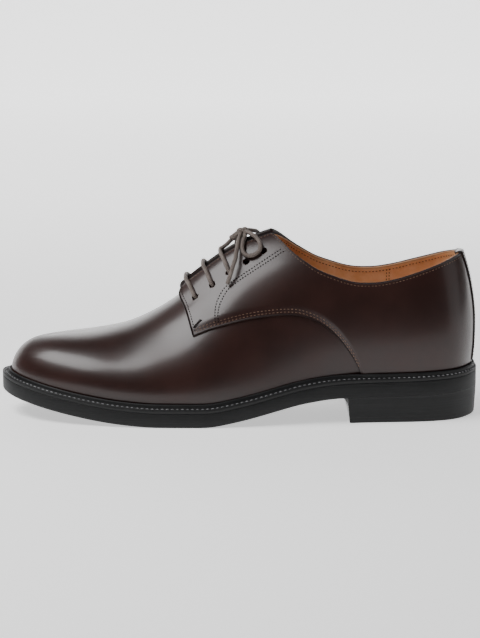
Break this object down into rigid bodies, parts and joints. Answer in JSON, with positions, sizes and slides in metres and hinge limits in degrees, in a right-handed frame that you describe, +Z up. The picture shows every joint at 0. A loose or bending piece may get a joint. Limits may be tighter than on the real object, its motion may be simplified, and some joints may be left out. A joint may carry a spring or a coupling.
{
  "type": "derby shoe",
  "caption": "Left derby shoe in smooth leather with open lacing, plain toe, storm welt, rubber sole and block heel; hollow and open at the collar.",
  "frame": {"origin": "middle of the shoe's length and width, on the floor it stands on", "axes": "+Z up, +X from the toe to the heel, -Y to the outer (lateral) side of a left foot"},
  "size_m": [0.3, 0.1064, 0.1184],
  "materials": {
    "outsole": "matte black rubber",
    "heel": "matte black rubber",
    "welt": "matte black, with light stitches along its groove",
    "insole": "plain tan",
    "upper": "polished dark burgundy, tan lining inside",
    "quarter_lateral": "polished dark burgundy",
    "quarter_medial": "polished dark burgundy",
    "tongue": "polished dark burgundy, tan lining inside",
    "backstay": "polished dark burgundy",
    "lace_bar_1": "waxed round cord, taupe",
    "lace_bar_2": "waxed round cord, taupe",
    "lace_bar_3": "waxed round cord, taupe",
    "lace_knot": "waxed round cord, taupe",
    "lace_strand": "waxed round cord, taupe",
    "lace_loop_lateral": "waxed round cord, taupe",
    "lace_loop_medial": "waxed round cord, taupe",
    "lace_end_lateral": "waxed round cord, taupe",
    "lace_end_medial": "waxed round cord, taupe"
  },
  "bodies": {
    "root": {"outsole": "outsole", "heel": "heel", "welt": "welt", "insole": "insole", "upper": "upper", "quarter_lateral": "quarter_lateral", "quarter_medial": "quarter_medial", "tongue": "tongue", "backstay": "backstay", "lace_bar_1": "lace_bar_1", "lace_bar_2": "lace_bar_2", "lace_bar_3": "lace_bar_3", "lace_knot": "lace_knot", "lace_strand": "lace_strand", "lace_loop_lateral": "lace_loop_lateral", "lace_loop_medial": "lace_loop_medial", "lace_end_lateral": "lace_end_lateral", "lace_end_medial": "lace_end_medial"}
  },
  "joints": []
}
